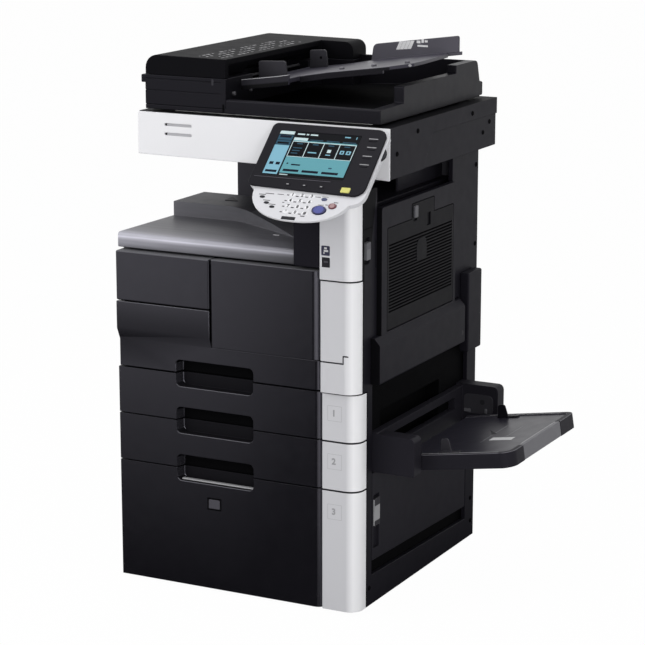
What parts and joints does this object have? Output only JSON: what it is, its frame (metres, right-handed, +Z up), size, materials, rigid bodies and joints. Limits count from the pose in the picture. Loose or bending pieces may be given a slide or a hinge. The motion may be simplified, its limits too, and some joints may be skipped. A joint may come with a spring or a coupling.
{
  "type": "photocopier",
  "caption": "Floor-standing office photocopier with a document feeder, tilting touch panel, paper drawers, louvred duplex cover and a fold-up bypass tray.",
  "frame": {"origin": "middle of the whole box at floor level, with the bypass tray open", "axes": "+Z up, the front with the drawers faces -Y, the bypass tray points to +X"},
  "size_m": [0.8794, 0.7522, 1.1774],
  "materials": {
    "black_plastic": "fine satin texture",
    "charcoal_plastic": "satin, slightly blue",
    "white_plastic": "semi-gloss",
    "grey_plastic": "satin",
    "light_grey_plastic": "satin",
    "zinc_plated_steel": "plated sheet steel",
    "drum_coating": "polished coating",
    "platen_glass": "clear, polished",
    "platen_pad_white": "soft white sheet",
    "feed_rubber": "fine grooves",
    "gloss_black": "semi-gloss",
    "screen_face": "lit display under film",
    "start_blue": "semi-gloss",
    "stop_red": "semi-gloss",
    "key_yellow": "lit key"
  },
  "bodies": {
    "machine": {"chassis": "zinc_plated_steel", "left_cover": "black_plastic", "rear_cover": "black_plastic", "right_cover": "black_plastic", "rear_column": "black_plastic", "exit_housing": "black_plastic", "output_tray": "grey_plastic", "column_upper": "white_plastic", "column_lower": "white_plastic", "upper_left_cover": "charcoal_plastic", "lower_left_cover": "charcoal_plastic", "laser_unit": "black_plastic", "fuser_unit": "grey_plastic", "scanner_housing": "black_plastic", "scanner_front_panel": "white_plastic", "platen_glass": "platen_glass", "bypass_frame": "black_plastic"},
    "feeder": {"feeder_base": "black_plastic", "feeder_head": "black_plastic", "platen_pad": "platen_pad_white"},
    "panel": {"panel_shell": "white_plastic", "panel_bezel": "gloss_black", "touch_screen": "screen_face"},
    "feeder_top_cover": {"feeder_top_cover": "black_plastic"},
    "feeder_lever": {"feeder_lever": "black_plastic"},
    "feed_roller": {"feed_roller": "feed_rubber"},
    "document_tray": {"document_tray": "grey_plastic"},
    "document_guide_front": {"document_guide_front": "charcoal_plastic"},
    "document_guide_rear": {"document_guide_rear": "charcoal_plastic"},
    "scan_carriage": {"scan_carriage": "zinc_plated_steel"},
    "start_key": {"start_key": "start_blue"},
    "stop_key": {"stop_key": "stop_red"},
    "yellow_key": {"yellow_key": "key_yellow"},
    "brightness_dial": {"brightness_dial": "grey_plastic"},
    "front_door": {"front_door": "charcoal_plastic"},
    "lift_plate_1": {"lift_plate_1": "zinc_plated_steel"},
    "lift_plate_2": {"lift_plate_2": "zinc_plated_steel"},
    "lift_plate_3": {"lift_plate_3": "zinc_plated_steel"},
    "release_button": {"release_button": "grey_plastic"},
    "drum": {"drum": "drum_coating"},
    "toner_bottle": {"toner_bottle": "light_grey_plastic"},
    "side_door": {"side_door": "charcoal_plastic"},
    "duplex_cover": {"duplex_cover": "charcoal_plastic"},
    "duplex_lever": {"duplex_lever": "light_grey_plastic"},
    "side_latch": {"side_latch": "light_grey_plastic"},
    "bypass_tray": {"bypass_tray": "black_plastic"},
    "bypass_extension": {"bypass_extension": "grey_plastic"},
    "bypass_guide_front": {"bypass_guide_front": "charcoal_plastic"},
    "bypass_guide_rear": {"bypass_guide_rear": "charcoal_plastic"},
    "lower_side_door": {"lower_side_door": "charcoal_plastic"},
    "lower_latch": {"lower_latch": "light_grey_plastic"},
    "drawer_1": {"drawer_front_1": "charcoal_plastic", "drawer_cap_1": "white_plastic", "drawer_box_1": "black_plastic"},
    "drawer_2": {"drawer_front_2": "charcoal_plastic", "drawer_cap_2": "white_plastic", "drawer_box_2": "black_plastic"},
    "drawer_3": {"drawer_front_3": "charcoal_plastic", "drawer_cap_3": "white_plastic", "drawer_box_3": "black_plastic"}
  },
  "joints": [
    {"name": "feeder_lift", "type": "hinge", "parent": "machine", "child": "feeder", "pos_m": [-0.1497, 0.3541, 1.036], "axis": [-1, 0, 0], "range_deg": [0, 60]},
    {"name": "feeder_cover_open", "type": "hinge", "parent": "feeder", "child": "feeder_top_cover", "pos_m": [-0.4262, 0.0081, 1.1044], "axis": [0, -1, 0], "range_deg": [0, 55]},
    {"name": "feeder_lever_press", "type": "slide", "parent": "feeder", "child": "feeder_lever", "axis": [0, 0, -1], "range_m": [0, 0.006], "stiffness_N_per_m": 200, "springref_m": -0.005},
    {"name": "feed_roller_spin", "type": "hinge", "parent": "feeder", "child": "feed_roller", "pos_m": [-0.2537, 0.0781, 1.0945], "axis": [0, 1, 0], "continuous": true},
    {"name": "document_tray_lift", "type": "hinge", "parent": "feeder", "child": "document_tray", "pos_m": [-0.2222, 0.0081, 1.087], "axis": [0, -1, 0], "range_deg": [0, 20]},
    {"name": "document_guide_front_slide", "type": "slide", "parent": "document_tray", "child": "document_guide_front", "axis": [0, 1, 0], "range_m": [0, 0.05]},
    {"name": "document_guide_rear_slide", "type": "slide", "parent": "document_tray", "child": "document_guide_rear", "axis": [0, 1, 0], "range_m": [-0.05, 0]},
    {"name": "scan_carriage_travel", "type": "slide", "parent": "machine", "child": "scan_carriage", "axis": [1, 0, 0], "range_m": [0, 0.45]},
    {"name": "panel_tilt", "type": "hinge", "parent": "machine", "child": "panel", "pos_m": [-0.1497, -0.19935, 0.9983], "axis": [-1, 0, 0], "range_deg": [0, 15]},
    {"name": "start_key_press", "type": "slide", "parent": "panel", "child": "start_key", "axis": [0, 0.6756, -0.7373], "range_m": [0, 0.0015], "stiffness_N_per_m": 400, "springref_m": -0.001},
    {"name": "stop_key_press", "type": "slide", "parent": "panel", "child": "stop_key", "axis": [0, 0.6756, -0.7373], "range_m": [0, 0.0015], "stiffness_N_per_m": 400, "springref_m": -0.001},
    {"name": "yellow_key_press", "type": "slide", "parent": "panel", "child": "yellow_key", "axis": [0, 0.6756, -0.7373], "range_m": [0, 0.001], "stiffness_N_per_m": 400, "springref_m": -0.001},
    {"name": "brightness_dial_turn", "type": "hinge", "parent": "panel", "child": "brightness_dial", "pos_m": [0.1603, -0.23489, 0.97862], "axis": [0, -0.6756, 0.7373], "range_deg": [-140, 140]},
    {"name": "front_door_open", "type": "hinge", "parent": "machine", "child": "front_door", "pos_m": [-0.1957, -0.2839, 0.64], "axis": [0, 0, -1], "range_deg": [0, 100]},
    {"name": "drawer_1_pull", "type": "slide", "parent": "machine", "child": "drawer_1", "axis": [0, -1, 0], "range_m": [0, 0.33]},
    {"name": "lift_plate_1_raise", "type": "hinge", "parent": "drawer_1", "child": "lift_plate_1", "pos_m": [-0.2297, -0.0694, 0.3883], "axis": [0, -1, 0], "range_deg": [0, 12]},
    {"name": "drawer_2_pull", "type": "slide", "parent": "machine", "child": "drawer_2", "axis": [0, -1, 0], "range_m": [0, 0.33]},
    {"name": "lift_plate_2_raise", "type": "hinge", "parent": "drawer_2", "child": "lift_plate_2", "pos_m": [-0.2297, -0.0694, 0.2823], "axis": [0, -1, 0], "range_deg": [0, 12]},
    {"name": "drawer_3_pull", "type": "slide", "parent": "machine", "child": "drawer_3", "axis": [0, -1, 0], "range_m": [0, 0.33]},
    {"name": "lift_plate_3_raise", "type": "slide", "parent": "drawer_3", "child": "lift_plate_3", "axis": [0, 0, 1], "range_m": [0, 0.2]},
    {"name": "release_button_press", "type": "slide", "parent": "drawer_3", "child": "release_button", "axis": [0, 1, 0], "range_m": [0, 0.003], "stiffness_N_per_m": 400, "springref_m": -0.001},
    {"name": "drum_spin", "type": "hinge", "parent": "machine", "child": "drum", "pos_m": [0.0303, 0.0081, 0.602], "axis": [0, 1, 0], "continuous": true},
    {"name": "toner_bottle_spin", "type": "hinge", "parent": "machine", "child": "toner_bottle", "pos_m": [-0.1047, 0.0081, 0.592], "axis": [0, 1, 0], "continuous": true},
    {"name": "side_door_open", "type": "hinge", "parent": "machine", "child": "side_door", "pos_m": [0.1523, 0.2051, 0.66], "axis": [0, 0, 1], "range_deg": [0, 80]},
    {"name": "duplex_cover_open", "type": "hinge", "parent": "side_door", "child": "duplex_cover", "pos_m": [0.1468, 0.0081, 0.603], "axis": [0, 1, 0], "range_deg": [0, 60]},
    {"name": "duplex_lever_press", "type": "slide", "parent": "duplex_cover", "child": "duplex_lever", "axis": [0, 0, -1], "range_m": [0, 0.006], "stiffness_N_per_m": 200, "springref_m": -0.005},
    {"name": "side_latch_lift", "type": "slide", "parent": "machine", "child": "side_latch", "axis": [0, 0, 1], "range_m": [0, 0.008], "stiffness_N_per_m": 200, "springref_m": -0.005},
    {"name": "bypass_tray_fold", "type": "hinge", "parent": "machine", "child": "bypass_tray", "pos_m": [0.1953, 0.0081, 0.316], "axis": [0, 1, 0], "range_deg": [-81, 0]},
    {"name": "bypass_extension_pull", "type": "slide", "parent": "bypass_tray", "child": "bypass_extension", "axis": [0.9877, 0, 0.1564], "range_m": [0, 0.1]},
    {"name": "bypass_guide_front_slide", "type": "slide", "parent": "bypass_tray", "child": "bypass_guide_front", "axis": [0, 1, 0], "range_m": [0, 0.1]},
    {"name": "bypass_guide_rear_slide", "type": "slide", "parent": "bypass_tray", "child": "bypass_guide_rear", "axis": [0, 1, 0], "range_m": [-0.1, 0]},
    {"name": "lower_door_open", "type": "hinge", "parent": "machine", "child": "lower_side_door", "pos_m": [0.1358, 0.2701, 0.2], "axis": [0, 0, 1], "range_deg": [0, 80]},
    {"name": "lower_latch_lift", "type": "slide", "parent": "lower_side_door", "child": "lower_latch", "axis": [0, 0, 1], "range_m": [0, 0.006], "stiffness_N_per_m": 200, "springref_m": -0.005}
  ],
  "couplings": [
    {"joint": "document_guide_rear_slide", "follows": "document_guide_front_slide", "ratio": -1},
    {"joint": "bypass_guide_rear_slide", "follows": "bypass_guide_front_slide", "ratio": -1}
  ]
}
